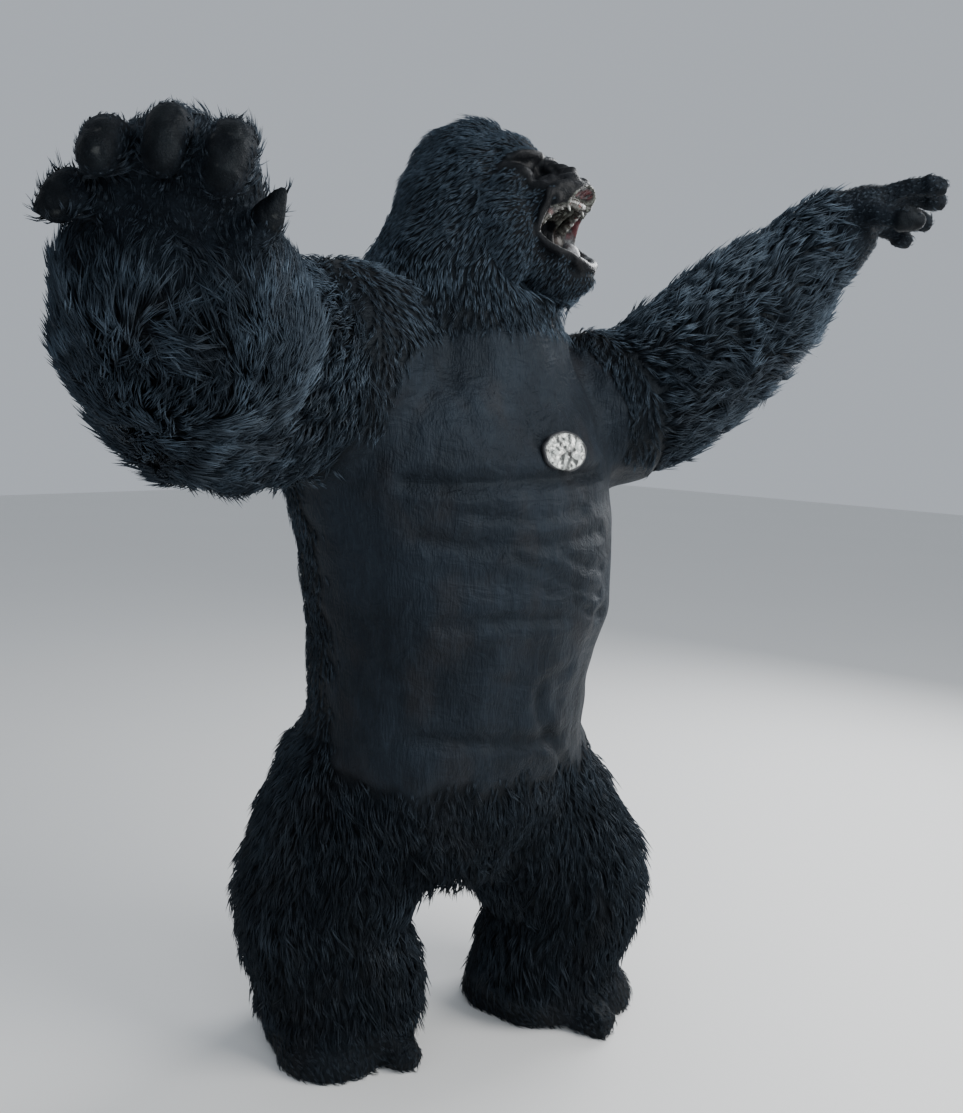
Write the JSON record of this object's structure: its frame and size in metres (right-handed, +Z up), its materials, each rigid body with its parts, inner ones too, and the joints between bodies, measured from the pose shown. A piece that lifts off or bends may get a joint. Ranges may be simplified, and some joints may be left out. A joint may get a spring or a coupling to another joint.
{
  "type": "gorilla costume",
  "caption": "Still gorilla costume in long black fur: standing, both arms raised, open roaring mask with teeth, broad plush feet.",
  "frame": {"origin": "on the floor, under the middle of the whole suit's box", "axes": "+Z up; the suit's body faces -Y and its own left is +X, with the head turned to its left"},
  "size_m": [2.0406, 0.9664, 2.0622],
  "materials": {
    "black_fur": "long tousled faux-fur pile, black with a blue-grey sheen",
    "black_plush": "short black plush pile on the hands and feet",
    "mask_rubber": "moulded and glossy, dark grey",
    "teeth": "glossy, greyed ivory",
    "tongue": "glossy, dark grey-pink",
    "eye": "glossy, near-black brown",
    "window": "crinkled clear and silver film"
  },
  "bodies": {
    "root": {"belly": "black_fur", "big_toe_left": "black_plush", "big_toe_right": "black_plush", "chest": "black_fur", "chest_disc": "window", "eye_left": "eye", "eye_right": "eye", "face_mask": "mask_rubber", "foot_left": "black_plush", "foot_right": "black_plush", "forearm_left": "black_fur", "forearm_right": "black_fur", "hand_left": "black_plush", "hand_right": "black_plush", "head": "black_fur", "index_left": "black_plush", "index_right": "black_plush", "jaw": "mask_rubber", "little_left": "black_plush", "little_right": "black_plush", "lower_teeth": "teeth", "middle_left": "black_plush", "middle_right": "black_plush", "neck": "black_fur", "pelvis": "black_fur", "ring_left": "black_plush", "ring_right": "black_plush", "shin_left": "black_fur", "shin_right": "black_fur", "thigh_left": "black_fur", "thigh_right": "black_fur", "thumb_left": "black_plush", "thumb_right": "black_plush", "tongue": "tongue", "upper_arm_left": "black_fur", "upper_arm_right": "black_fur", "upper_teeth": "teeth"}
  },
  "joints": []
}
